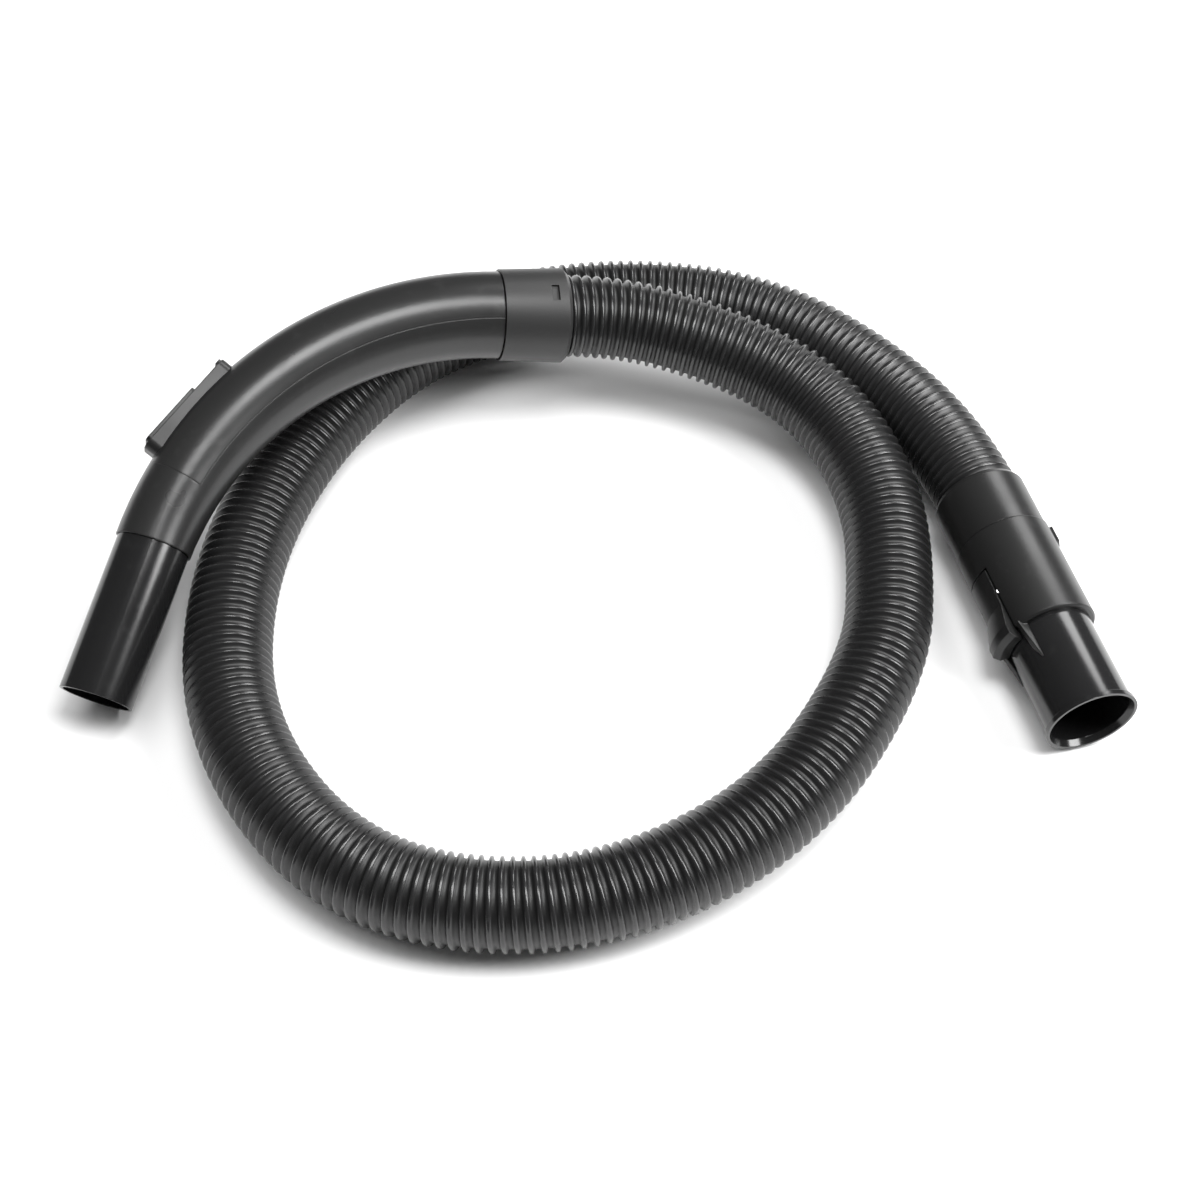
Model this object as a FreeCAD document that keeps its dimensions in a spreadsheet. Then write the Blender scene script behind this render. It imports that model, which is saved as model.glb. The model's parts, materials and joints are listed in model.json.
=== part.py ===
import FreeCAD, Part
import math
import os
from Sketcher import Constraint as SketchConstraint
from FreeCAD import Placement, Rotation, Vector

os.makedirs("parts", exist_ok=True)
doc = FreeCAD.newDocument("VacuumHose")

# ---------------------------------------------------------------------------
# Driving dimensions, in millimetres and degrees
# ---------------------------------------------------------------------------
dimensions = [
    # hose
    ("hoseOuterRadius", 21.25),
    ("hoseBoreRadius", 17.0),
    ("airRadius", 15.9),
    ("spigotRadius", 16.85),
    ("spigotLength", 12),
    # swivel joint, the same at both ends of the hose
    ("lipRadius", 19.7),
    ("neckRadius", 19.4),
    ("sealFit", 0.05),
    ("clipInnerRadius", 18.1),
    ("clipOuterRadius", 21.3),
    ("clipWidth", 2.6),
    ("clipGap", 0.3),
    ("clipSplitAngle", 40),
    ("sealWidth", 2.6),
    # collar at the handle
    ("collarLength", 35),
    ("collarGap", 0.4),
    ("collarMouthRadius", 23.3),
    ("collarRearRadius", 24.4),
    ("collarInnerRadius", 21.8),
    ("collarLipLength", 4),
    ("collarChamfer", 2),
    ("collarSealStart", 8),
    ("collarBushStart", 14.8),
    ("hoseSeatDepth", 29),
    ("windowStart", 24.4),
    ("windowLength", 3.8),
    ("windowWidth", 8.6),
    ("windowClock", -10),
    ("tabClearance", 0.15),
    ("tabRadius", 22.6),
    # handle: bent air tube with two grip shells round it
    ("tubeRadius", 17.5),
    ("neckLength", 14),
    ("bendLead", 3),
    ("bendRadius", 186),
    ("bendAngle", 68.5),
    ("wandLength", 78),
    ("handleRoll", 27),
    ("gripSeamRadius", 22.3),
    ("gripStepRadius", 18.5),
    ("cavitySeamRadius", 20.3),
    ("cavityStepRadius", 17.9),
    ("cavityStartAngle", 4),
    ("cavityEndAngle", 63),
    ("coverEndAngle", 58),
    ("coverSplitOffset", -8.5),
    ("shellReach", 40),
    # air bleed on the outside of the bend
    ("bleedAngle", 48.5),
    ("bleedFrameLength", 59),
    ("bleedFrameWidth", 17),
    ("bleedFrameFoot", 12),
    ("bleedFrameTop", 22.6),
    ("bleedCornerRadius", 5),
    ("bleedFloor", 19.2),
    ("bleedLedge", 21.5),
    ("bleedTrackLength", 54),
    ("bleedTrackWidth", 14.6),
    ("bleedMouthWidth", 12.6),
    ("bleedPortStart", -24),
    ("bleedPortLength", 13),
    ("bleedPortWidth", 7),
    ("bleedStopLength", 4),
    ("bleedStopWidth", 8),
    ("bleedStopTop", 24.4),
    ("gasketMargin", 2),
    ("gasketThickness", 0.7),
    ("sliderPlateFoot", 20.1),
    ("sliderPlateTop", 21.3),
    ("sliderPlateWidth", 14),
    ("sliderKnobWidth", 12),
    ("sliderKnobTop", 24.6),
    ("sliderLength", 36),
    ("sliderRestGap", 0.3),
    ("sliderCornerRadius", 2.4),
    ("detentStart", 12),
    ("detentLength", 13),
    ("detentWidth", 5),
    ("detentThickness", 0.4),
    # machine end: cuff on the hose, then the connector that turns in it
    ("cuffLength", 32),
    ("cuffOuterRadius", 23.4),
    ("cuffInnerRadius", 21.7),
    ("cuffLipStart", 28.4),
    ("cuffChamfer", 2.5),
    ("cuffHoseSeat", 6),
    ("cuffBushEnd", 20.8),
    ("cuffSealStart", 21.8),
    ("connectorStart", 32.5),
    ("connectorEnd", 88),
    ("connectorRadius", 24),
    ("connectorChamfer", 1),
    ("nozzleNeckStart", 21.2),
    ("nozzleRadius", 20.95),
    ("nozzleStep", 84),
    ("nozzleBoreRadius", 19.2),
    ("nozzleBoreStart", 90),
    ("nozzleTaper", 6),
    ("nozzleEnd", 138),
    ("nozzleRimRadius", 22.1),
    ("nozzleRimLength", 2.4),
    ("nozzleMouthRadius", 20.7),
    ("nozzleMouthLength", 3),
    ("connectorRoll", -12),
    ("lugStart", 33),
    ("lugLength", 9),
    ("lugRadius", 25.4),
    ("lugWidth", 6),
    ("lugClock", 27),
    # latch lever in the side of the connector
    ("pocketStart", 51),
    ("pocketHalfWidth", 9.3),
    ("pocketFloor", 19.95),
    ("latchHalfAngle", 21),
    ("latchStart", 52),
    ("latchEnd", 93),
    ("latchUnderRadius", 22.4),
    ("latchPadRadius", 24.2),
    ("latchRampStart", 73),
    ("latchRampRadius", 24.9),
    ("latchCrestStart", 86),
    ("latchCrestEnd", 90.5),
    ("latchCrestRadius", 28.9),
    ("latchNoseRadius", 26.4),
    ("latchClawStart", 90),
    ("latchClawRadius", 21.6),
    ("pivotStation", 66),
    ("pivotOffset", 21.9),
    ("pivotHubRadius", 1.65),
    ("pivotHubHalfWidth", 8),
    ("pinRadius", 1.0),
    ("pinFit", 0.05),
    ("pinHalfLength", 9.8),
    ("springStation", 56.5),
    ("springRadius", 1.9),
    ("springWireRadius", 0.22),
    ("springHeight", 1.8),
    ("springPitch", 0.6),
    ("springFoot", 20.2),
    ("cheekEnd", 107),
    ("cheekRootHeight", 21.6),
    ("cheekTipHeight", 17.4),
    ("cheekFoot", 14),
    ("cheekInnerHalfWidth", 9.8),
    ("cheekThickness", 2.6),
]

# Centreline of the loose hose, from its seat in the handle's collar to its seat in the machine cuff
hoseRoute = [
    (-22, 103, 60.0),
    (12, 109, 53.6),
    (64, 98, 44.5),
    (103, 79, 37.0),
    (129, 51, 30.5),
    (144, 13, 25.0),
    (147, -27, 22.0),
    (139, -91, 21.25),
    (85, -174, 21.25),
    (-6, -220, 21.25),
    (-105, -208, 21.25),
    (-170, -130, 21.25),
    (-179, -32, 21.25),
    (-149, 59, 21.25),
    (-90, 131, 21.25),
    (2, 159, 21.25),
    (90, 147, 21.25),
    (150, 98, 21.25),
    (186, 41, 24.0),
    (196, 4, 24.0),
]

sheet = doc.addObject("Spreadsheet::Sheet", "Dimensions")
for row, (alias, value) in enumerate(dimensions, start=1):
    sheet.set("A%d" % row, alias)
    sheet.set("B%d" % row, str(value))
    sheet.setAlias("B%d" % row, alias)
doc.recompute()


class Size:
    """A length or angle that knows its number and the sheet expression behind it."""

    def __init__(self, number, text):
        self.number = float(number)
        self.text = text

    def __add__(self, other):
        other = asSize(other)
        return Size(self.number + other.number, "(%s + %s)" % (self.text, other.text))

    def __sub__(self, other):
        other = asSize(other)
        return Size(self.number - other.number, "(%s - %s)" % (self.text, other.text))

    def __mul__(self, factor):
        return Size(self.number * factor, "(%s * %s)" % (self.text, factor))

    def __neg__(self):
        return Size(-self.number, "(-1 * %s)" % self.text)


def asSize(value):
    return value if isinstance(value, Size) else Size(value, str(value))


def dim(alias):
    return Size(sheet.get(alias), "Dimensions." + alias)


def bind(item, **sizes):
    """Ties properties of a document object to the sheet."""
    for name, size in sizes.items():
        item.setExpression(name, asSize(size).text)
    return item


def primitive(kind, name, place=Placement(), **sizes):
    item = doc.addObject(kind, name)
    item.Placement = place
    return bind(item, **sizes)


def box(name, low, high, place=Placement()):
    """A box between two corners given as sizes."""
    low = [asSize(value) for value in low]
    high = [asSize(value) for value in high]
    corner = Placement(Vector(*[value.number for value in low]), Rotation())
    item = doc.addObject("Part::Box", name)
    item.Placement = place.multiply(corner)
    return bind(item, Length=high[0] - low[0], Width=high[1] - low[1], Height=high[2] - low[2])


def cut(name, base, *tools):
    """The base without the tools, one boolean after another."""
    for index, tool in enumerate(tools):
        item = doc.addObject("Part::Cut", name if index == len(tools) - 1 else name + "Step")
        item.Base = base
        item.Tool = tool
        base = item
    return base


def fuse(name, *shapes):
    item = doc.addObject("Part::MultiFuse", name)
    item.Shapes = list(shapes)
    item.Refine = True
    return item


def common(name, first, second):
    item = doc.addObject("Part::Common", name)
    item.Base = first
    item.Tool = second
    return item


subParts = {}


def finish(item, label, place):
    """Names a sub-part and sets it in the object's frame."""
    item.Label = label
    item.Placement = place
    subParts[label] = item
    return item


def originFeature(body, role):
    return next(item for item in body.Origin.OriginFeatures if item.Role == role)


def outlineSketch(body, name, outline):
    """A closed polygon on the body's XY plane, each corner bound to the sheet."""
    sketch = body.newObject("Sketcher::SketchObject", name)
    sketch.AttachmentSupport = [(originFeature(body, "XY_Plane"), "")]
    sketch.MapMode = "FlatFace"
    corners = [(asSize(along), asSize(across)) for along, across in outline]
    points = [Vector(along.number, across.number, 0) for along, across in corners]
    for index, point in enumerate(points):
        sketch.addGeometry(Part.LineSegment(point, points[(index + 1) % len(points)]), False)
    for index in range(len(points)):
        sketch.addConstraint(SketchConstraint("Coincident", index, 2, (index + 1) % len(points), 1))
    for index, (along, across) in enumerate(corners):
        for kind, size in (("DistanceX", along), ("DistanceY", across)):
            place = sketch.addConstraint(SketchConstraint(kind, -1, 1, index, 1, size.number))
            sketch.setExpression("Constraints[%d]" % place, size.text)
    return sketch


def turned(name, outline, angle=360):
    """A body turned about the local X axis; outline holds (station, radius) corners."""
    body = doc.addObject("PartDesign::Body", name)
    sketch = outlineSketch(body, name + "Outline", outline)
    turn = body.newObject("PartDesign::Revolution", name + "Turn")
    turn.Profile = sketch
    turn.ReferenceAxis = (sketch, ["H_Axis"])
    turn.Midplane = True
    bind(turn, Angle=angle)
    return body


def padded(name, outline, length):
    """A body padded evenly either side of the local XY plane."""
    body = doc.addObject("PartDesign::Body", name)
    pad = body.newObject("PartDesign::Pad", name + "Pad")
    pad.Profile = outlineSketch(body, name + "Outline", outline)
    pad.Midplane = True
    bind(pad, Length=length)
    return body


# ---------------------------------------------------------------------------
# Frames: +X along each end's own axis
# ---------------------------------------------------------------------------
route = [Vector(*point) for point in hoseRoute]


def endFrame(near, far, setback, roll):
    """A frame on the line from near to far, its origin set back behind near."""
    axis = far.sub(near).normalize()
    yaw = math.degrees(math.atan2(axis.y, axis.x))
    pitch = math.degrees(-math.asin(axis.z))
    return Placement(near.sub(axis * setback), Rotation(yaw, pitch, roll))


# The handle's +X runs from the grip seam into the hose, its +Y to the outside of the bend
handleFrame = endFrame(route[0], route[1], dim("hoseSeatDepth").number, dim("handleRoll").number)
# The connector's +X runs from the rear of the cuff to the open nozzle, its latch on the -Y side
cuffAxis = route[-1].sub(route[-2]).normalize()
cuffYaw = math.degrees(math.atan2(cuffAxis.y, cuffAxis.x))
cuffOrigin = route[-1].sub(cuffAxis * dim("cuffHoseSeat").number)
cuffFrame = Placement(cuffOrigin, Rotation(cuffYaw, 0, 0))
connectorFrame = Placement(cuffOrigin, Rotation(cuffYaw, 0, dim("connectorRoll").number))


def bendPlace(angle):
    """On the handle's centreline, X back along it and Y out of the bend."""
    turn = math.radians(angle)
    radius = dim("bendRadius").number
    along = -dim("bendLead").number - radius * math.sin(turn)
    return Placement(Vector(along, radius * (math.cos(turn) - 1), 0), Rotation(angle, 0, 0))


def beyond(place, distance):
    """The same frame moved on along the handle, away from the hose."""
    return place.multiply(Placement(Vector(-distance, 0, 0), Rotation()))


seamPlace = Placement()
bendEnd = bendPlace(dim("bendAngle").number)
bleedPlace = bendPlace(dim("bleedAngle").number)
acrossPath = Placement(Vector(), Rotation(0, -90, 0))
alongX = Placement(Vector(), Rotation(0, 90, 0))

# ---------------------------------------------------------------------------
# Hose: straight runs joined by tangent arcs
# ---------------------------------------------------------------------------


def roundedRoute(points):
    """The route as one wire, each corner an arc as large as its two runs allow."""
    edges, radii, last = [], [], points[0]
    for before, corner, after in zip(points, points[1:], points[2:]):
        inward = corner.sub(before)
        outward = after.sub(corner)
        trim = 0.45 * min(inward.Length, outward.Length)
        halfTurn = inward.getAngle(outward) / 2
        radii.append(trim / math.tan(halfTurn))
        inward.normalize()
        outward.normalize()
        start = corner.sub(inward * trim)
        end = corner.add(outward * trim)
        middle = outward.sub(inward).normalize() * radii[-1] * (1 / math.cos(halfTurn) - 1)
        edges.append(Part.LineSegment(last, start).toShape())
        edges.append(Part.Arc(start, corner.add(middle), end).toShape())
        last = end
    edges.append(Part.LineSegment(last, points[-1]).toShape())
    return Part.Wire(edges), radii


def pipeAlong(path, radius):
    axis = route[1].sub(route[0])
    ring = Part.Wire(Part.makeCircle(radius, route[0], axis))
    return path.makePipeShell([ring], True, False)


hosePath, hoseRadii = roundedRoute(route)
hose = doc.addObject("Part::Feature", "Hose")
outerRadius = dim("hoseOuterRadius").number
boreRadius = dim("hoseBoreRadius").number
hose.Shape = pipeAlong(hosePath, outerRadius).cut(pipeAlong(hosePath, boreRadius))
finish(hose, "hose", Placement())
sectionArea = math.pi * (outerRadius ** 2 - boreRadius ** 2)
print("hose length %.1f, volume over section times length %.5f"
      % (hosePath.Length, hose.Shape.Volume / (sectionArea * hosePath.Length)))
print("hose radii", [round(radius) for radius in hoseRadii])

# ---------------------------------------------------------------------------
# Collar end: what stays with the hose
# ---------------------------------------------------------------------------


def snapBar(name, clearance, reach):
    """A bar across the collar where its two snap windows are."""
    clock = Placement(Vector(), Rotation(0, 0, dim("windowClock").number))
    start = dim("windowStart") + clearance
    end = dim("windowStart") + dim("windowLength") - clearance
    half = dim("windowWidth") * 0.5 - clearance
    return box(name, (start, -half, -reach), (end, half, reach), clock)


def handleCollar():
    inner = dim("collarInnerRadius")
    rear = dim("collarRearRadius")
    sleeve = turned("CollarSleeve", [
        (dim("collarGap"), dim("lipRadius")),
        (dim("collarGap"), dim("collarMouthRadius")),
        (dim("collarLength") - dim("collarChamfer"), rear),
        (dim("collarLength"), rear - dim("collarChamfer")),
        (dim("collarLength"), inner),
        (dim("collarLipLength"), inner),
        (dim("collarLipLength"), dim("lipRadius")),
    ])
    windows = snapBar("CollarWindows", 0, dim("shellReach"))
    return finish(cut("HandleCollar", sleeve, windows), "handle_collar", handleFrame)


def collarBush():
    bore = dim("airRadius")
    seat = dim("hoseSeatDepth")
    core = turned("CollarBushCore", [
        (dim("collarBushStart"), bore),
        (dim("collarBushStart"), dim("collarInnerRadius")),
        (seat, dim("collarInnerRadius")),
        (seat, dim("spigotRadius")),
        (seat + dim("spigotLength"), dim("spigotRadius")),
        (seat + dim("spigotLength"), bore),
    ])
    tabs = snapBar("CollarTabs", dim("tabClearance"), dim("tabRadius"))
    air = primitive("Part::Cylinder", "CollarAir", alongX, Radius=bore, Height=seat)
    body = cut("CollarBush", fuse("CollarBushBlank", core, tabs), air)
    return finish(body, "collar_bush", handleFrame)


def sealRing(name, start, outer):
    inner = dim("neckRadius") + dim("sealFit")
    end = start + dim("sealWidth")
    return turned(name, [(start, inner), (start, outer), (end, outer), (end, inner)])


def clipRing(name, start):
    """A split ring that keeps a neck behind its lip."""
    inner = dim("clipInnerRadius")
    outer = dim("clipOuterRadius")
    end = start + dim("clipWidth")
    return turned(name, [(start, inner), (start, outer), (end, outer), (end, inner)],
                  asSize(360) - dim("clipSplitAngle"))


handleCollar()
collarBush()
finish(sealRing("CollarSeal", dim("collarSealStart"), dim("collarInnerRadius")), "collar_seal", handleFrame)

# ---------------------------------------------------------------------------
# Handle: air tube, grip shell, cover
# ---------------------------------------------------------------------------


def pathSketch(name, start, wand):
    """The handle's centreline: a short lead, the bend and, if asked, the straight wand stub."""
    lead = dim("bendLead")
    radius = dim("bendRadius")
    angle = dim("bendAngle")
    path = doc.addObject("Sketcher::SketchObject", name)
    centre = Vector(-lead.number, -radius.number, 0)
    path.addGeometry(Part.LineSegment(Vector(start.number, 0, 0), Vector(-lead.number, 0, 0)), False)
    circle = Part.Circle(centre, Vector(0, 0, 1), radius.number)
    quarter = math.pi / 2
    path.addGeometry(Part.ArcOfCircle(circle, quarter, quarter + math.radians(angle.number)), False)
    driven = [
        ("DistanceX", (-1, 1, 0, 1), start),
        ("DistanceX", (-1, 1, 0, 2), -lead),
        ("DistanceX", (-1, 1, 1, 3), -lead),
        ("DistanceY", (-1, 1, 1, 3), -radius),
    ]
    path.addConstraint(SketchConstraint("PointOnObject", 0, 1, -1))
    path.addConstraint(SketchConstraint("PointOnObject", 0, 2, -1))
    path.addConstraint(SketchConstraint("Coincident", 0, 2, 1, 1))
    for kind, picks, size in driven:
        place = path.addConstraint(SketchConstraint(kind, *picks, size.number))
        path.setExpression("Constraints[%d]" % place, size.text)
    place = path.addConstraint(SketchConstraint("Angle", 1, math.radians(angle.number)))
    path.setExpression("Constraints[%d]" % place, "%s * 1 deg" % angle.text)
    if wand:
        first = bendEnd.Base
        last = beyond(bendEnd, wand.number).Base
        path.addGeometry(Part.LineSegment(first, last), False)
        path.addConstraint(SketchConstraint("Tangent", 1, 2, 2, 1))
        place = path.addConstraint(SketchConstraint("Distance", 2, wand.number))
        path.setExpression("Constraints[%d]" % place, wand.text)
    return path


def bentTube(name, path, edges, first, last):
    """A solid swept along the centreline between two round sections."""
    sections = []
    for suffix, (radius, place) in (("First", first), ("Last", last)):
        sections.append(primitive("Part::Circle", name + suffix, place.multiply(acrossPath), Radius=radius))
    sweep = doc.addObject("Part::Sweep", name)
    sweep.Sections = sections
    sweep.Spine = (path, ["Edge%d" % (index + 1) for index in range(edges)])
    sweep.Solid = True
    sweep.Frenet = False
    return sweep


def bendSector(name, startAngle, endAngle):
    """A slice of the bend, seen from its centre of curvature."""
    reach = dim("shellReach")
    radius = dim("bendRadius")
    corner = Placement(Vector(-dim("bendLead").number, -radius.number, -reach.number),
                       Rotation(90 + startAngle.number, 0, 0))
    return primitive("Part::Cylinder", name, corner,
                     Radius=radius + reach, Height=reach * 2, Angle=endAngle - startAngle)


def frameBlank(name):
    """The bleed frame's outer block, with rounded ends."""
    half = dim("bleedFrameLength") * 0.5
    side = dim("bleedFrameWidth") * 0.5
    return roundedBox(name, (-half, dim("bleedFrameFoot"), -side), (half, dim("bleedFrameTop"), side),
                      dim("bleedCornerRadius"), bleedPlace)


def roundedBox(name, low, high, radius, place=Placement()):
    """A box whose edges along local Y are rounded."""
    block = box(name + "Block", low, high)
    doc.recompute()
    item = doc.addObject("Part::Fillet", name)
    item.Base = block
    upright = [index for index, edge in enumerate(block.Shape.Edges, start=1)
               if abs(edge.tangentAt(edge.FirstParameter).y) > 0.9]
    item.Edges = [(index, radius.number, radius.number) for index in upright]
    item.Placement = place
    return item


def bleedPort(name):
    start = dim("bleedPortStart")
    half = dim("bleedPortWidth") * 0.5
    return box(name, (start, dim("bleedFrameFoot"), -half),
               (start + dim("bleedPortLength"), dim("bleedFrameTop"), half), bleedPlace)


ductPath = pathSketch("DuctPath", dim("neckLength"), dim("wandLength"))
gripPath = pathSketch("GripPath", asSize(0), None)
doc.recompute()
wandEnd = beyond(bendEnd, dim("wandLength").number)
neckPlace = beyond(seamPlace, -dim("neckLength").number)
tubeBlank = bentTube("TubeBlank", ductPath, 3, (dim("tubeRadius"), neckPlace), (dim("tubeRadius"), wandEnd))
airColumn = bentTube("AirColumn", ductPath, 3, (dim("airRadius"), neckPlace), (dim("airRadius"), wandEnd))


def wandTube():
    clipStart = dim("collarLipLength") + dim("clipGap")
    clipEnd = clipStart + dim("clipWidth")
    inner = dim("tubeRadius") - 0.5
    neck = turned("WandNeck", [
        (0, inner),
        (0, dim("neckRadius")),
        (clipStart, dim("neckRadius")),
        (clipStart, dim("clipInnerRadius")),
        (clipEnd, dim("clipInnerRadius")),
        (clipEnd, dim("neckRadius")),
        (dim("neckLength"), dim("neckRadius")),
        (dim("neckLength"), inner),
    ])
    body = cut("WandTube", fuse("WandBlank", tubeBlank, neck), airColumn, bleedPort("TubePort"))
    finish(body, "wand_tube", handleFrame)
    finish(clipRing("HandleClip", clipStart), "handle_clip", handleFrame)


def gripShells():
    outer = bentTube("GripOuter", gripPath, 2,
                     (dim("gripSeamRadius"), seamPlace), (dim("gripStepRadius"), bendEnd))
    hollow = bentTube("GripHollow", gripPath, 2,
                      (dim("cavitySeamRadius"), seamPlace), (dim("cavityStepRadius"), bendEnd))
    bendSlice = bendSector("CavitySector", dim("cavityStartAngle"), dim("cavityEndAngle"))
    blank = cut("GripBlank", outer, tubeBlank, common("GripCavity", hollow, bendSlice))
    sector = bendSector("CoverSector", asSize(0), dim("coverEndAngle"))
    inside = primitive("Part::Cylinder", "CoverInside", sector.Placement,
                       Radius=dim("bendRadius") + dim("coverSplitOffset"), Height=dim("shellReach") * 2)
    lead = box("CoverLead", (-dim("bendLead"), dim("coverSplitOffset"), -dim("shellReach")),
               (0, dim("shellReach"), dim("shellReach")))
    zone = fuse("CoverZone", cut("CoverArc", sector, inside), lead)
    finish(cut("GripShell", blank, zone, frameBlank("ShellNotch")), "grip_shell", handleFrame)
    cover = cut("HandleCover", common("CoverBlank", blank, zone), frameBlank("CoverNotch"))
    finish(cover, "handle_cover", handleFrame)


wandTube()
gripShells()

# ---------------------------------------------------------------------------
# Air bleed: frame, sliding shutter, gasket, detent spring
# ---------------------------------------------------------------------------
bleedFrame = handleFrame.multiply(bleedPlace)


def bleedFrameBody():
    half = dim("bleedTrackLength") * 0.5
    wide = dim("bleedTrackWidth") * 0.5
    narrow = dim("bleedMouthWidth") * 0.5
    top = dim("bleedFrameTop")
    low = box("BleedTrack", (-half, dim("bleedFloor"), -wide), (half, dim("bleedLedge"), wide), bleedPlace)
    high = box("BleedMouth", (-half, dim("bleedFloor"), -narrow), (half, top + 1, narrow), bleedPlace)
    stopSide = dim("bleedStopWidth") * 0.5
    stopEnd = dim("bleedFrameLength") * 0.5
    stop = box("BleedStop", (stopEnd - dim("bleedStopLength"), top - 2, -stopSide),
               (stopEnd - 1, dim("bleedStopTop"), stopSide), bleedPlace)
    tray = cut("BleedTray", frameBlank("BleedBlock"), tubeBlank, low, high, bleedPort("FramePort"))
    finish(fuse("BleedFrame", tray, cut("BleedStopTab", stop, high)), "bleed_frame", handleFrame)


def bleedSlider():
    start = dim("sliderRestGap") - dim("bleedTrackLength") * 0.5
    end = start + dim("sliderLength")
    plateSide = dim("sliderPlateWidth") * 0.5
    knobSide = dim("sliderKnobWidth") * 0.5
    plate = roundedBox("SliderPlate", (start, dim("sliderPlateFoot"), -plateSide),
                       (end, dim("sliderPlateTop"), plateSide), dim("sliderCornerRadius") * 0.5)
    knob = roundedBox("SliderKnob", (start + 0.5, dim("sliderPlateFoot"), -knobSide),
                      (end - 0.5, dim("sliderKnobTop"), knobSide), dim("sliderCornerRadius"))
    finish(fuse("BleedSlider", plate, knob), "bleed_slider", bleedFrame)


def bleedSmallParts():
    margin = dim("gasketMargin")
    start = dim("bleedPortStart")
    end = start + dim("bleedPortLength")
    side = dim("bleedPortWidth") * 0.5
    floor = dim("bleedFloor")
    pad = box("GasketPad", (start - margin, floor, -side - margin),
              (end + margin, floor + dim("gasketThickness"), side + margin))
    hole = box("GasketHole", (start, floor - 1, -side), (end, floor + 2, side))
    finish(cut("BleedGasket", pad, hole), "bleed_gasket", bleedFrame)
    springSide = dim("detentWidth") * 0.5
    strip = box("DetentStrip", (dim("detentStart"), floor, -springSide),
                (dim("detentStart") + dim("detentLength"), floor + dim("detentThickness"), springSide))
    finish(strip, "bleed_detent", bleedFrame)


bleedFrameBody()
bleedSlider()
bleedSmallParts()

# ---------------------------------------------------------------------------
# Machine end: cuff on the hose, connector turning in it
# ---------------------------------------------------------------------------


def machineCuff():
    outer = dim("cuffOuterRadius")
    inner = dim("cuffInnerRadius")
    cuff = turned("MachineCuff", [
        (0, inner),
        (0, outer - 1.2),
        (dim("cuffChamfer"), outer),
        (dim("cuffLength"), outer),
        (dim("cuffLength"), dim("lipRadius")),
        (dim("cuffLipStart"), dim("lipRadius")),
        (dim("cuffLipStart"), inner),
    ])
    finish(cuff, "machine_cuff", cuffFrame)
    seat = dim("cuffHoseSeat")
    bore = dim("airRadius")
    bush = turned("CuffBush", [
        (seat - dim("spigotLength"), bore),
        (seat - dim("spigotLength"), dim("spigotRadius")),
        (seat, dim("spigotRadius")),
        (seat, inner),
        (dim("cuffBushEnd"), inner),
        (dim("cuffBushEnd"), bore),
    ])
    finish(bush, "cuff_bush", cuffFrame)
    finish(sealRing("CuffSeal", dim("cuffSealStart"), inner), "cuff_seal", cuffFrame)


def nozzleTube():
    neck = dim("neckRadius")
    clipEnd = dim("cuffLipStart") - dim("clipGap")
    clipStart = clipEnd - dim("clipWidth")
    rimStart = dim("nozzleEnd") - dim("nozzleRimLength")
    tube = turned("NozzleTube", [
        (dim("nozzleNeckStart"), dim("airRadius")),
        (dim("nozzleNeckStart"), neck),
        (clipStart, neck),
        (clipStart, dim("clipInnerRadius")),
        (clipEnd, dim("clipInnerRadius")),
        (clipEnd, neck),
        (dim("nozzleStep"), neck),
        (dim("nozzleStep"), dim("nozzleRadius")),
        (rimStart, dim("nozzleRadius")),
        (rimStart, dim("nozzleRimRadius")),
        (dim("nozzleEnd"), dim("nozzleRimRadius")),
        (dim("nozzleEnd"), dim("nozzleMouthRadius")),
        (dim("nozzleEnd") - dim("nozzleMouthLength"), dim("nozzleBoreRadius")),
        (dim("nozzleBoreStart"), dim("nozzleBoreRadius")),
        (dim("nozzleBoreStart") - dim("nozzleTaper"), dim("airRadius")),
    ])
    finish(tube, "nozzle_tube", connectorFrame)
    finish(clipRing("ConnectorClip", clipStart), "connector_clip", connectorFrame)


def crossPin(name, radius, halfLength):
    """A cylinder on the latch's pivot line."""
    place = Placement(Vector(dim("pivotStation").number, -dim("pivotOffset").number, -halfLength.number),
                      Rotation())
    return primitive("Part::Cylinder", name, place, Radius=radius, Height=halfLength * 2)


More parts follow.
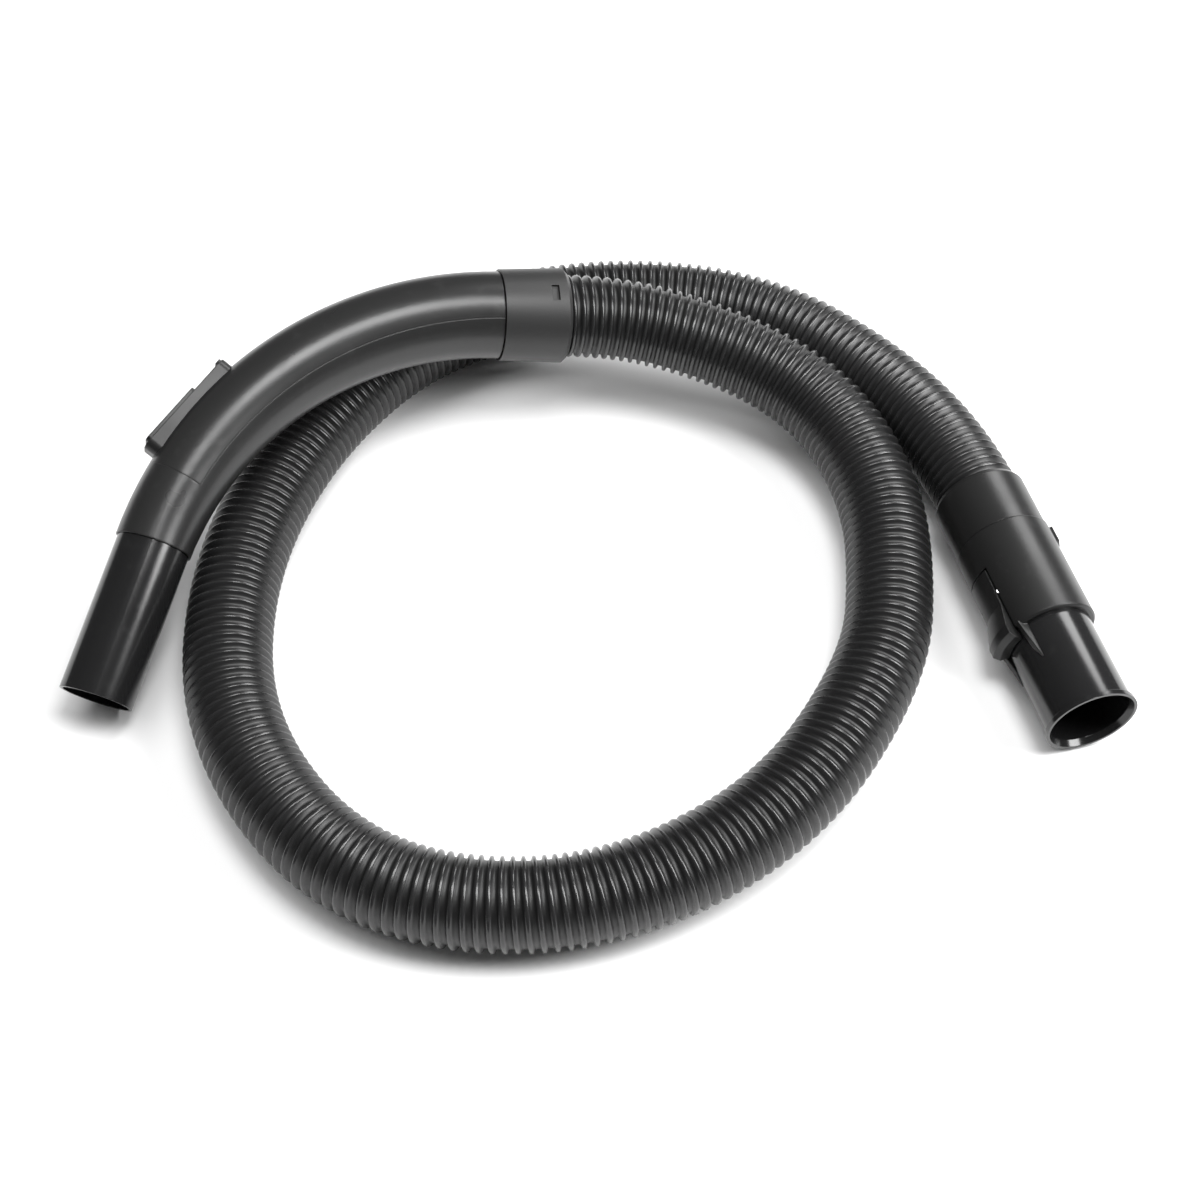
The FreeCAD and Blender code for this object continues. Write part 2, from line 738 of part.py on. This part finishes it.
def connectorBody():
    outer = dim("connectorRadius")
    end = dim("connectorEnd")
    sleeve = turned("ConnectorSleeve", [
        (dim("connectorStart"), dim("neckRadius")),
        (dim("connectorStart"), outer),
        (end - dim("connectorChamfer"), outer),
        (end, outer - dim("connectorChamfer")),
        (end, dim("nozzleRadius")),
        (dim("nozzleStep"), dim("nozzleRadius")),
        (dim("nozzleStep"), dim("neckRadius")),
    ])
    inner = dim("cheekInnerHalfWidth")
    cheeks = padded("LatchCheeks", [
        (end - 2, -dim("cheekFoot")),
        (end - 2, -dim("cheekRootHeight")),
        (dim("cheekEnd"), -dim("cheekTipHeight")),
        (dim("cheekEnd"), -dim("cheekFoot")),
    ], (inner + dim("cheekThickness")) * 2)
    between = box("CheekGap", (end - 3, -dim("shellReach"), -inner), (dim("cheekEnd") + 1, 0, inner))
    nozzle = primitive("Part::Cylinder", "CheekNozzle", alongX,
                       Radius=dim("nozzleRadius"), Height=dim("nozzleEnd"))
    lugSide = dim("lugWidth") * 0.5
    lug = box("KeyLug", (dim("lugStart"), dim("nozzleRadius"), -lugSide),
              (dim("lugStart") + dim("lugLength"), dim("lugRadius"), lugSide),
              Placement(Vector(), Rotation(0, 0, dim("lugClock").number)))
    blank = fuse("ConnectorBlank", sleeve, cut("CheekPair", cheeks, between, nozzle), lug)
    half = dim("pocketHalfWidth")
    pocket = box("LatchPocket", (dim("pocketStart"), -dim("shellReach"), -half),
                 (end + 1, -dim("pocketFloor"), half))
    holes = crossPin("PinHoles", dim("pinRadius"), dim("pinHalfLength"))
    clear = primitive("Part::Cylinder", "ConnectorBore", alongX,
                      Radius=dim("nozzleRadius"), Height=dim("nozzleEnd"))
    clear.Placement = Placement(Vector(dim("nozzleStep").number, 0, 0), alongX.Rotation)
    finish(cut("ConnectorBody", blank, pocket, holes, clear), "connector_body", connectorFrame)


def latchParts():
    under = -dim("latchUnderRadius")
    claw = -dim("latchClawRadius")
    crest = -dim("latchCrestRadius")
    plate = turned("LatchPlate", [
        (dim("latchStart"), under),
        (dim("latchStart"), -dim("latchPadRadius")),
        (dim("latchRampStart"), -dim("latchRampRadius")),
        (dim("latchCrestStart"), crest),
        (dim("latchCrestEnd"), crest),
        (dim("latchEnd"), -dim("latchNoseRadius")),
        (dim("latchEnd"), claw),
        (dim("latchClawStart"), claw),
        (dim("latchClawStart") - 1, under),
    ], dim("latchHalfAngle") * 2)
    hub = crossPin("LatchHub", dim("pivotHubRadius"), dim("pivotHubHalfWidth"))
    hole = crossPin("LatchHole", dim("pinRadius") + dim("pinFit"), dim("pinHalfLength"))
    finish(cut("LatchLever", fuse("LatchBlank", plate, hub), hole), "latch_lever", connectorFrame)
    pin = crossPin("LatchPin", dim("pinRadius"), dim("pinHalfLength"))
    finish(pin, "latch_pin", connectorFrame.multiply(pin.Placement))


def latchSpring():
    place = Placement(Vector(dim("springStation").number, -dim("springFoot").number, 0), Rotation(0, 0, 90))
    coil = primitive("Part::Helix", "SpringCoil", Placement(),
                     Radius=dim("springRadius"), Height=dim("springHeight"), Pitch=dim("springPitch"))
    wirePlace = Placement(Vector(dim("springRadius").number, 0, 0), Rotation(0, 0, 90))
    wire = primitive("Part::Circle", "SpringWire", wirePlace, Radius=dim("springWireRadius"))
    doc.recompute()
    spring = doc.addObject("Part::Sweep", "LatchSpring")
    spring.Sections = [wire]
    spring.Spine = (coil, ["Edge%d" % (index + 1) for index in range(len(coil.Shape.Edges))])
    spring.Solid = True
    spring.Frenet = True
    finish(spring, "latch_spring", connectorFrame.multiply(place))


machineCuff()
nozzleTube()
connectorBody()
latchParts()
latchSpring()

# ---------------------------------------------------------------------------
# Check and write
# ---------------------------------------------------------------------------
doc.recompute()
for item in doc.Objects:
    if "Invalid" in item.State or "Error" in item.State:
        raise RuntimeError("%s failed: %s" % (item.Name, item.State))
for label, item in subParts.items():
    shape = item.Shape
    if shape.isNull() or not shape.isValid():
        raise RuntimeError("%s has no valid shape" % label)
    print("%-16s solids %d volume %.0f" % (label, len(shape.Solids), shape.Volume))
    shape.exportStep("parts/%s.step" % label)
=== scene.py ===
import math
import json
import bpy
from mathutils import Matrix, Vector


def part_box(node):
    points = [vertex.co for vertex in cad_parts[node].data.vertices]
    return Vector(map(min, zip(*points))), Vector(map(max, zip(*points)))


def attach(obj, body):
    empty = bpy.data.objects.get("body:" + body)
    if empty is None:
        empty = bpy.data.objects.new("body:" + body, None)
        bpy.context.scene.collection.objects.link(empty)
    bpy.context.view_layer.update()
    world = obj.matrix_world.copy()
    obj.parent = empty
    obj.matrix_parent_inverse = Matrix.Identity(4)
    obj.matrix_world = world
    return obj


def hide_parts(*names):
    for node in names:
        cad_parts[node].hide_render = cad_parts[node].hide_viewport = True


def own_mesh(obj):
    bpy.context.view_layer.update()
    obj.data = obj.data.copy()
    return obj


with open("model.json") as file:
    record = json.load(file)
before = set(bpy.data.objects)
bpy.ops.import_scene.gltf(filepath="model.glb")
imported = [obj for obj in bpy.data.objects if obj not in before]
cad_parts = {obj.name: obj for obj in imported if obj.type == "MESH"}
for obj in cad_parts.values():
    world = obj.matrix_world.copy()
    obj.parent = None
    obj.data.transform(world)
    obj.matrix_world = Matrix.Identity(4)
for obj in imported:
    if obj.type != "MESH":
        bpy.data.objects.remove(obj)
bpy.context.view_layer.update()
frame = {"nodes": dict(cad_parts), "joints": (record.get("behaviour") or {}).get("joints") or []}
scene = bpy.context.scene
joints = {joint["name"]: joint for joint in frame["joints"]}
print("frame loaded,", len(frame["nodes"]), "CAD nodes")


class Wire:
    # one node socket that can stand in a sum
    def __init__(self, board, socket):
        self.board = board
        self.socket = socket

    def out(self, name):
        return Wire(self.board, self.socket.node.outputs[name])

    def __add__(self, other):
        return self.board.maths("ADD", self, other)

    def __radd__(self, other):
        return self.board.maths("ADD", other, self)

    def __sub__(self, other):
        return self.board.maths("SUBTRACT", self, other)

    def __rsub__(self, other):
        return self.board.maths("SUBTRACT", other, self)

    def __mul__(self, other):
        return self.board.maths("MULTIPLY", self, other)

    def __rmul__(self, other):
        return self.board.maths("MULTIPLY", other, self)

    def __truediv__(self, other):
        return self.board.maths("DIVIDE", self, other)

    def __mod__(self, other):
        return self.board.maths("MODULO", self, other)

    def __gt__(self, other):
        return self.board.maths("GREATER_THAN", self, other)

    def __lt__(self, other):
        return self.board.maths("LESS_THAN", self, other)


class Board:
    # a node tree, shader or geometry, with one way to add any node
    def __init__(self, tree):
        self.tree = tree

    def node(self, kind, settings=None, values=None):
        made = self.tree.nodes.new(kind)
        for name, value in (settings or {}).items():
            if name == "items":
                while len(made.index_switch_items) < value:
                    made.index_switch_items.new()
            else:
                setattr(made, name, value)
        for key, value in (values or {}).items():
            self.feed(made.inputs[key], value)
        return Wire(self, made.outputs[0])

    def feed(self, socket, value):
        if isinstance(value, Wire):
            self.tree.links.new(value.socket, socket)
        else:
            socket.default_value = value

    def maths(self, operation, first, second=0.0):
        return self.node("ShaderNodeMath", {"operation": operation}, {0: first, 1: second})

    def floor(self, value):
        return self.maths("FLOOR", value)

    def vector(self, operation, first, second):
        key = "Scale" if operation == "SCALE" else 1
        return self.node("ShaderNodeVectorMath", {"operation": operation}, {0: first, key: second})

    def choose(self, index, levels):
        values = {0: index}
        values.update({place + 1: level for place, level in enumerate(levels)})
        settings = {"data_type": "FLOAT", "items": len(levels)}
        return self.node("GeometryNodeIndexSwitch", settings, values)


# camera, before anything else is made
cameraView = {
    "place": (0.003, -0.5603, 0.7209),
    "tiltDegrees": 36.0,  # from straight down
    "lens": 53.28,
    "sensor": 36.0,
}


def makeCamera(view):
    data = bpy.data.cameras.new("studioCamera")
    data.lens = view["lens"]
    data.sensor_width = view["sensor"]
    data.sensor_fit = "HORIZONTAL"
    camera = bpy.data.objects.new("studioCamera", data)
    camera.location = view["place"]
    camera.rotation_euler = (math.radians(view["tiltDegrees"]), 0, 0)
    scene.collection.objects.link(camera)
    scene.camera = camera


makeCamera(cameraView)

# the hose: where it lies, and how it is ribbed
hoseRun = {
    "route": [  # where the hose lies, from the collar round to the machine cuff
        (-0.022, 0.103, 0.0600), (0.012, 0.109, 0.0536), (0.064, 0.098, 0.0445), (0.103, 0.079, 0.0370),
        (0.129, 0.051, 0.0305), (0.144, 0.013, 0.0250), (0.147, -0.027, 0.0220), (0.139, -0.091, 0.02125),
        (0.085, -0.174, 0.02125), (-0.006, -0.220, 0.02125), (-0.105, -0.208, 0.02125),
        (-0.170, -0.130, 0.02125), (-0.179, -0.032, 0.02125), (-0.149, 0.059, 0.02125),
        (-0.090, 0.131, 0.02125), (0.002, 0.159, 0.02125), (0.090, 0.147, 0.02125),
        (0.150, 0.098, 0.02125), (0.186, 0.041, 0.0240), (0.196, 0.004, 0.0240),
    ],
    "length": 1.353,
    "outerRadius": 0.02125,
    "boreRadius": 0.0170,
    "ribPitch": 0.0051,
    "ribDepth": 0.0023,
    "sides": 44,
    "boreStep": 0.008,
    "collarDepth": 0.035,  # from the swivel seam to the collar's rear edge
}


ribProfile = {  # one rib and its groove, row by row along the pitch
    "share": [0.0, 0.22, 0.44, 0.55, 0.72, 0.89],
    "lift": [0.04, 0.0, 0.04, 0.84, 1.0, 0.84],
    "spareTurns": 3.0,
    "weld": 0.00002,
}


def layRoute(name, points):
    data = bpy.data.curves.new(name, "CURVE")
    data.dimensions = "3D"
    data.resolution_u = 24
    data.twist_mode = "MINIMUM"
    spline = data.splines.new("NURBS")
    spline.points.add(len(points) - 1)
    for point, place in zip(spline.points, points):
        point.co = (*place, 1)
    spline.order_u = 3
    spline.use_endpoint_u = True
    route = bpy.data.objects.new(name, data)
    scene.collection.objects.link(route)
    return route


def centreline(route):
    line = bpy.data.meshes.new_from_object(route)
    points = [tuple(vertex.co) for vertex in line.vertices]
    bpy.data.meshes.remove(line)
    return points


class GeometryTree(Board):
    # a geometry tree whose sizes are named inputs
    def __init__(self, name):
        super().__init__(bpy.data.node_groups.new(name, "GeometryNodeTree"))
        self.tree.interface.new_socket("Geometry", in_out="INPUT", socket_type="NodeSocketGeometry")
        self.tree.interface.new_socket("Geometry", in_out="OUTPUT", socket_type="NodeSocketGeometry")
        self.entry = self.tree.nodes.new("NodeGroupInput")
        self.keys = {}

    def size(self, name, kind="NodeSocketFloat"):
        socket = self.tree.interface.new_socket(name, in_out="INPUT", socket_type=kind)
        self.keys[name] = socket.identifier
        return Wire(self, self.entry.outputs[name])

    def start(self):
        return Wire(self, self.entry.outputs["Geometry"])

    def end(self, geometry, material):
        real = self.node("GeometryNodeRealizeInstances", None, {"Geometry": geometry})
        painted = self.node("GeometryNodeSetMaterial", None, {"Geometry": real, "Material": material})
        self.feed(self.tree.nodes.new("NodeGroupOutput").inputs["Geometry"], painted)


def growMesh(source, tree, values, name):
    # runs the tree on the source object and keeps the result as a plain mesh
    modifier = source.modifiers.new("grow", "NODES")
    modifier.node_group = tree.tree
    for key, value in values.items():
        modifier[tree.keys[key]] = value
    source.update_tag()
    bpy.context.view_layer.update()
    evaluated = source.evaluated_get(bpy.context.evaluated_depsgraph_get())
    mesh = bpy.data.meshes.new_from_object(evaluated, depsgraph=bpy.context.evaluated_depsgraph_get())
    source.modifiers.remove(modifier)
    piece = bpy.data.objects.new(name, mesh)
    scene.collection.objects.link(piece)
    return piece


def ribbedTree(profile):
    tree = GeometryTree("ribbedTube")
    outer = tree.size("Outer Radius")
    bore = tree.size("Bore Radius")
    pitch = tree.size("Rib Pitch")
    depth = tree.size("Rib Depth")
    sides = tree.size("Sides", "NodeSocketInt")
    boreStep = tree.size("Bore Step")
    material = tree.size("Material", "NodeSocketMaterial")
    run = tree.start()
    length = tree.node("GeometryNodeCurveLength", None, {"Curve": run})
    index = tree.node("GeometryNodeInputIndex")
    around = sides + 1
    row = tree.floor(index / around + 0.0001)  # the small sums keep rounding off the edge
    column = index - row * around
    turnShare = column / sides
    angle = turnShare * (2 * math.pi)

    def placed(along, radius):
        # a point of the wall, from its length along the run, its angle and its radius
        sample = tree.node(
            "GeometryNodeSampleCurve",
            {"mode": "LENGTH", "use_all_curves": True},
            {"Curves": run, "Length": along},
        )
        side = sample.out("Normal")
        up = tree.vector("CROSS_PRODUCT", sample.out("Tangent"), side)
        across = tree.vector("SCALE", side, tree.maths("COSINE", angle) * radius)
        upward = tree.vector("SCALE", up, tree.maths("SINE", angle) * radius)
        return tree.vector("ADD", sample.out("Position"), tree.vector("ADD", across, upward))

    def sheet(rowCount, along, radius):
        # a grid of points bent round the run
        flat = {"Size X": 1.0, "Size Y": 1.0, "Vertices X": rowCount, "Vertices Y": around}
        grid = tree.node("GeometryNodeMeshGrid", None, flat)
        spots = {"Geometry": grid, "Position": placed(along, radius)}
        return tree.node("GeometryNodeSetPosition", None, spots)

    # outer wall: rows follow one helix, a few rows to each rib
    ribRows = len(profile["share"])
    rows = tree.floor(length / pitch + profile["spareTurns"]) * ribRows
    step = row % ribRows
    turn = tree.floor(row / ribRows + 0.001)
    share = tree.choose(step, profile["share"])
    lift = tree.choose(step, profile["lift"])
    wound = (turn - 1.0 + share + turnShare) * pitch
    inside = (wound > 0.0) * (wound < length)
    along = tree.node("ShaderNodeClamp", None, {"Value": wound, "Min": 0.0, "Max": length})
    ribRadius = outer - depth * (1.0 - lift)
    radius = bore + (ribRadius - bore) * inside
    wall = tree.node(
        "GeometryNodeStoreNamedAttribute",
        {"data_type": "FLOAT", "domain": "POINT"},
        {"Geometry": sheet(rows, along, radius), "Name": "ribLift", "Value": lift * inside},
    )
    wall = tree.node("GeometryNodeFlipFaces", None, {"Mesh": wall})

    # inner wall: a plain tube that meets the outer one at both ends
    boreRows = tree.floor(length / boreStep) + 2.0
    boreAlong = row / (boreRows - 1.0) * length
    lining = sheet(boreRows, boreAlong, bore)
    both = tree.node("GeometryNodeJoinGeometry")
    for part in (lining, wall):
        tree.tree.links.new(part.socket, both.socket.node.inputs[0])
    welded = tree.node("GeometryNodeMergeByDistance", None, {"Geometry": both, "Distance": profile["weld"]})
    smooth = tree.node("GeometryNodeSetShadeSmooth", None, {"Geometry": welded, "Shade Smooth": True})
    tree.end(smooth, material)
    return tree


def makeHose(run, material):
    route = layRoute("hoseRoute", run["route"])
    path = centreline(route)
    hose = growMesh(
        route,
        ribbedTree(ribProfile),
        {
            "Outer Radius": run["outerRadius"],
            "Bore Radius": run["boreRadius"],
            "Rib Pitch": run["ribPitch"],
            "Rib Depth": run["ribDepth"],
            "Sides": run["sides"],
            "Bore Step": run["boreStep"],
            "Material": material,
        },
        "ribbedHose",
    )
    bpy.data.objects.remove(route)
    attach(hose, "hose_run")
    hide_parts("hose")
    return hose


class Finish(Board):
    # a procedural material; its patterns read the piece's own Object coordinates
    def __init__(self, name):
        self.material = bpy.data.materials.new(name)
        self.material.use_nodes = True
        super().__init__(self.material.node_tree)
        self.tree.nodes.clear()
        self.place = self.node("ShaderNodeTexCoord").out("Object")

    def noise(self, size, detail):
        # size is the blotches' size in metres
        values = {"Vector": self.place, "Scale": 1 / size, "Detail": detail}
        return self.node("ShaderNodeTexNoise", None, values)

    def spread(self, value, low, high):
        values = {"Value": value, "From Min": low, "From Max": high}
        return self.node("ShaderNodeMapRange", {"clamp": True}, values)

    def blend(self, share, first, second):
        mix = self.node("ShaderNodeMix", {"data_type": "RGBA"}, {0: share, 6: first, 7: second})
        return Wire(self, mix.socket.node.outputs[2])

    def attribute(self, name):
        return self.node("ShaderNodeAttribute", {"attribute_name": name}).out("Fac")

    def bump(self, height, depth, strength, normal=None):
        values = {"Height": height, "Distance": depth, "Strength": strength}
        if normal:
            values["Normal"] = normal
        return self.node("ShaderNodeBump", None, values)

    def roundedEdges(self, radius):
        return self.node("ShaderNodeBevel", {"samples": 6}, {"Radius": radius})

    def shell(self, values):
        shader = self.node("ShaderNodeBsdfPrincipled", None, values)
        self.feed(self.tree.nodes.new("ShaderNodeOutputMaterial").inputs["Surface"], shader)
        return self.material


def grey(level, tint=1.0):
    return (level, level, level * tint, 1)


hosePlastic = {
    # the groove colour is darker than the crest colour: painted shade in the grooves between the ribs
    "shadedGroove": grey(0.006, 1.02),
    "crest": grey(0.014, 1.02),
    "scuff": grey(0.050, 1.0),
    "grooveRough": 0.46,
    "crestRough": 0.22,
    "specular": 0.55,
    "blotchSize": 0.035,
    "scuffSize": 0.006,
    "scuffShare": 0.35,
    "fineSize": 0.0011,
    "fineDepth": 0.00006,
}


def hoseFinish(look):
    board = Finish("hoseBlack")
    lift = board.attribute("ribLift")
    blotches = board.noise(look["blotchSize"], 3.0)
    fine = board.noise(look["fineSize"], 2.0)
    # base colour darkens from crest to groove by rib height: painted shade in the grooves
    body = board.blend(board.spread(lift, 0.1, 0.95), look["shadedGroove"], look["crest"])
    worn = board.spread(board.noise(look["scuffSize"], 4.0), 0.60, 0.78)
    scuffs = worn * board.spread(lift, 0.80, 1.0) * look["scuffShare"]
    colour = board.blend(scuffs, body, look["scuff"])
    rough = look["grooveRough"] + (look["crestRough"] - look["grooveRough"]) * lift
    rough = rough + (blotches - 0.5) * 0.16 + scuffs * 0.2
    return board.shell({
        "Base Color": colour,
        "Roughness": rough,
        "Specular IOR Level": look["specular"],
        "Normal": board.bump(fine, look["fineDepth"], 0.5),
    })


# sizes and depths are in metres; base is the clean plastic, worn its rubbed patches
mouldings = {
    "gripSatin": {
        "nodes": ["grip_shell", "handle_cover"],
        "base": grey(0.015, 1.0), "worn": grey(0.040, 1.0), "rough": 0.30, "grain": 0.00045,
        "grainDepth": 0.00003, "edge": 0.0009, "specular": 0.5,
    },
    "wandGloss": {
        "nodes": ["wand_tube", "nozzle_tube"],
        "base": grey(0.009, 1.03), "worn": grey(0.030, 1.0), "rough": 0.17, "grain": 0.0009,
        "grainDepth": 0.00001, "edge": 0.0004, "specular": 0.5,
    },
    "collarMatte": {
        "nodes": ["handle_collar"],
        "base": grey(0.020, 1.0), "worn": grey(0.045, 1.0), "rough": 0.44, "grain": 0.0006,
        "grainDepth": 0.00006, "edge": 0.0005, "specular": 0.45,
    },
    "connectorSatin": {
        "nodes": ["machine_cuff", "connector_body", "latch_lever", "bleed_frame", "bleed_slider"],
        "base": grey(0.011, 1.0), "worn": grey(0.035, 1.0), "rough": 0.34, "grain": 0.0005,
        "grainDepth": 0.00004, "edge": 0.0008, "specular": 0.36,
    },
    "bushMoulded": {
        "nodes": ["collar_bush", "cuff_bush", "handle_clip", "connector_clip"],
        "base": grey(0.030, 1.0), "worn": grey(0.060, 1.0), "rough": 0.55, "grain": 0.0008,
        "grainDepth": 0.00006, "edge": 0.0003, "specular": 0.4,
    },
}


mouldedWear = {"cloudSize": 0.030, "cloudRough": 0.14, "rubSize": 0.009, "rubTint": 0.22, "rubRough": 0.06}


def mouldedFinish(name, look, wear):
    board = Finish(name)
    cloud = board.noise(wear["cloudSize"], 3.0)
    grain = board.noise(look["grain"], 2.0)
    rubbed = board.spread(board.noise(wear["rubSize"], 5.0), 0.60, 0.80)
    colour = board.blend(rubbed * wear["rubTint"], look["base"], look["worn"])
    rough = look["rough"] + (cloud - 0.5) * wear["cloudRough"] + rubbed * wear["rubRough"]
    edges = board.roundedEdges(look["edge"])
    return board.shell({
        "Base Color": colour,
        "Roughness": rough,
        "Specular IOR Level": look["specular"],
        "Normal": board.bump(grain, look["grainDepth"], 0.6, edges),
    })


softParts = {
    "nodes": ["collar_seal", "cuff_seal", "bleed_gasket"],
    "base": grey(0.022), "dust": grey(0.060), "rough": 0.72,
    "dustSize": 0.004, "grain": 0.0005, "grainDepth": 0.00005,
}
wireParts = {
    "nodes": ["latch_pin", "bleed_detent"],
    "base": grey(0.58), "worn": grey(0.42), "rough": 0.28,
    "drawnSize": 0.0012, "drawnDepth": 0.00002,
}


def rubberFinish(look):
    board = Finish("sealRubber")
    dust = board.spread(board.noise(look["dustSize"], 4.0), 0.50, 0.75)
    return board.shell({
        "Base Color": board.blend(dust * 0.4, look["base"], look["dust"]),
        "Roughness": look["rough"] + dust * 0.12,
        "Normal": board.bump(board.noise(look["grain"], 2.0), look["grainDepth"], 0.5),
    })


def steelFinish(look):
    board = Finish("springSteel")
    drawn = board.noise(look["drawnSize"], 4.0)
    return board.shell({
        "Base Color": board.blend(board.spread(drawn, 0.4, 0.7), look["base"], look["worn"]),
        "Metallic": 1.0,
        "Roughness": look["rough"] + drawn * 0.14,
        "Normal": board.bump(drawn, look["drawnDepth"], 0.5),
    })


def paint(nodes, material):
    for name in nodes:
        slots = frame["nodes"][name].data.materials
        slots.clear()
        slots.append(material)


hose = makeHose(hoseRun, hoseFinish(hosePlastic))
print("hose laid,", len(hose.data.polygons), "faces")

for name, look in mouldings.items():
    paint(look["nodes"], mouldedFinish(name, look, mouldedWear))
paint(softParts["nodes"], rubberFinish(softParts))
steel = steelFinish(wireParts)
paint(wireParts["nodes"], steel)
print("finishes made")

latchCoil = {
    "coilRadius": 0.0019,
    "wireRadius": 0.00022,
    "height": 0.0018,
    "turns": 3.0,
    "pressed": 0.62,  # share of its height left when the lever is pressed
    "steps": 28,
    "wireSides": 10,
}


def coilTree(steps, wireSides):
    tree = GeometryTree("coil")
    coilRadius = tree.size("Coil Radius")
    wireRadius = tree.size("Wire Radius")
    height = tree.size("Height")
    turns = tree.size("Turns")
    material = tree.size("Material", "NodeSocketMaterial")
    line = tree.node(
        "GeometryNodeCurveSpiral",
        None,
        {
            "Resolution": steps, "Rotations": turns, "Start Radius": coilRadius,
            "End Radius": coilRadius, "Height": height,
        },
    )
    ring = {"Resolution": wireSides, "Radius": wireRadius}
    wire = tree.node("GeometryNodeCurvePrimitiveCircle", None, ring)
    swept = {"Curve": line, "Profile Curve": wire, "Fill Caps": True}
    coil = tree.node("GeometryNodeCurveToMesh", None, swept)
    tree.end(coil, material)
    return tree


def makeCoil(look, material):
    # a swept coil that stands in for the rigid CAD one
    low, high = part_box("latch_spring")
    middle = (low + high) / 2
    turning = joints["connector_swivel"]
    along = Vector(turning["axis"]).normalized()
    reach = middle - Vector(turning["pos_m"])
    outward = (reach - along * reach.dot(along)).normalized()
    foot = middle - outward * (look["height"] / 2)
    carrier = bpy.data.objects.new("coilCarrier", bpy.data.meshes.new("coilCarrier"))
    scene.collection.objects.link(carrier)
    coil = growMesh(
        carrier,
        coilTree(look["steps"], look["wireSides"]),
        {
            "Coil Radius": look["coilRadius"],
            "Wire Radius": look["wireRadius"],
            "Height": look["height"],
            "Turns": look["turns"],
            "Material": material,
        },
        "latchCoil",
    )
    bpy.data.objects.remove(carrier)
    turn = outward.to_track_quat("Z", "X").to_matrix().to_4x4()
    coil.data.transform(Matrix.Translation(foot) @ turn)
    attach(coil, "connector")
    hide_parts("latch_spring")
    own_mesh(coil)


makeCoil(latchCoil, steel)
print("latch coil made")

studio = {
    "floorSize": 6.0,
    "floorColour": grey(0.86),
    "floorLight": grey(0.86 * 1.02),
    "floorCloud": 0.5,
    "worldLevel": 0.12,
    "lamps": [  # place, aim, size, watts, seen in reflections
        ("sideSoftbox", (1.13, -0.12, 0.96), (0, 0, 0), 0.8, 25.0, True),
        ("topSoftbox", (0.26, -0.10, 1.50), (0, 0, 0), 0.6, 14.0, True),
        ("backSoftbox", (0.72, 1.00, 1.02), (0.1, 0, 0), 0.7, 12.0, True),
        ("floorWash", (-0.60, 0.20, 1.70), (-0.15, 0, 0), 1.8, 22.0, False),
    ],
}


def floorFinish(look):
    board = Finish("paleFloor")
    cloud = board.noise(look["floorCloud"], 2.0)
    colour = board.blend(cloud, look["floorColour"], look["floorLight"])
    return board.shell({"Base Color": colour, "Roughness": 0.8})


def makeStudio(look):
    half = look["floorSize"] / 2
    mesh = bpy.data.meshes.new("floor")
    corners = [(-half, -half, 0), (half, -half, 0), (half, half, 0), (-half, half, 0)]
    mesh.from_pydata(corners, [], [(0, 1, 2, 3)])
    mesh.materials.append(floorFinish(look))
    ground = bpy.data.objects.new("floor", mesh)
    scene.collection.objects.link(ground)
    for name, place, aim, size, watts, mirrored in look["lamps"]:
        data = bpy.data.lights.new(name, "AREA")
        data.shape = "DISK"
        data.size = size
        data.energy = watts
        lamp = bpy.data.objects.new(name, data)
        lamp.location = place
        lamp.visible_glossy = mirrored
        lamp.rotation_euler = (Vector(aim) - Vector(place)).to_track_quat("-Z", "Y").to_euler()
        scene.collection.objects.link(lamp)
    world = bpy.data.worlds.new("studioAir")
    world.use_nodes = True
    backdrop = world.node_tree.nodes["Background"]
    backdrop.inputs["Color"].default_value = (1, 1, 1, 1)
    backdrop.inputs["Strength"].default_value = look["worldLevel"]
    scene.world = world
    scene.view_settings.view_transform = "Standard"


makeStudio(studio)
print("studio lit")
